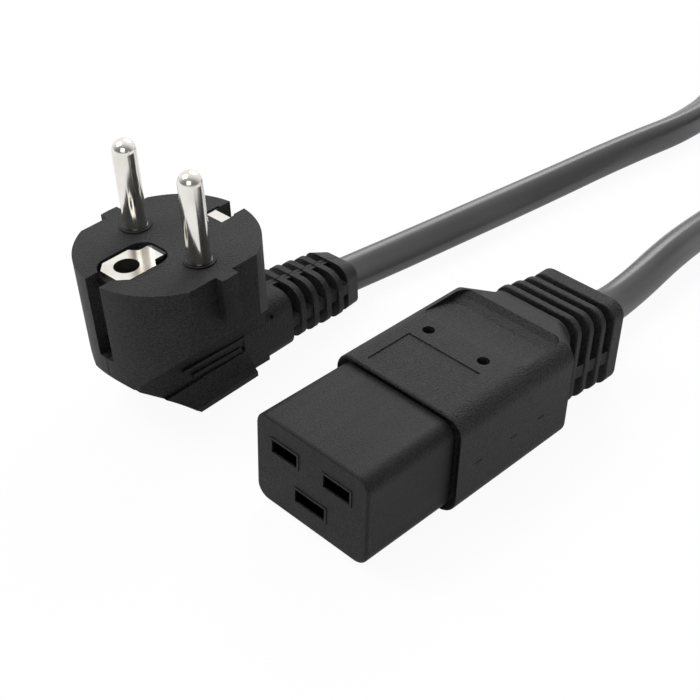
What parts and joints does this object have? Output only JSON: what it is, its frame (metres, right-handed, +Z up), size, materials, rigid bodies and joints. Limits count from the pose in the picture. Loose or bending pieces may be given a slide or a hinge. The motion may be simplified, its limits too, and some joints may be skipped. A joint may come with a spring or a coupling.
{
  "type": "power cord",
  "caption": "Mains power cord: round plug with two pins and an earth socket, flat-pin appliance connector, and a round cable whose spare length is wound in a tied coil.",
  "frame": {"origin": "middle of the footprint of the plug and the connector, on the surface that they lie on", "axes": "+Z up, +X along the connector from its slots towards its cable, +Y from the connector to the plug"},
  "size_m": [0.3313, 0.1082, 0.0539],
  "materials": {
    "overmould": "fine moulded texture",
    "nose": "smooth satin",
    "nickel": "bright nickel plate",
    "contact_metal": "stamped, plain",
    "copper": "bare stranded copper",
    "wire_brown": "smooth",
    "wire_blue": "smooth",
    "wire_green": "smooth, yellow stripe",
    "cable": "semi-gloss",
    "strap": "woven strap"
  },
  "bodies": {
    "root": {"cable_coil": "cable", "cable_plug": "cable", "cable_socket": "cable", "coil_tie": "strap", "connector_body": "overmould", "connector_nose": "nose", "contact_earth": "contact_metal", "contact_line": "contact_metal", "contact_neutral": "contact_metal", "earth_strip": "nickel", "pin_line": "nickel", "pin_neutral": "nickel", "plug_body": "overmould", "plug_bridge": "nose", "plug_core_earth": "copper", "plug_core_line": "copper", "plug_core_neutral": "copper", "plug_wire_earth": "wire_green", "plug_wire_line": "wire_brown", "plug_wire_neutral": "wire_blue", "socket_core_earth": "copper", "socket_core_line": "copper", "socket_core_neutral": "copper", "socket_wire_earth": "wire_green", "socket_wire_line": "wire_brown", "socket_wire_neutral": "wire_blue"}
  },
  "joints": []
}
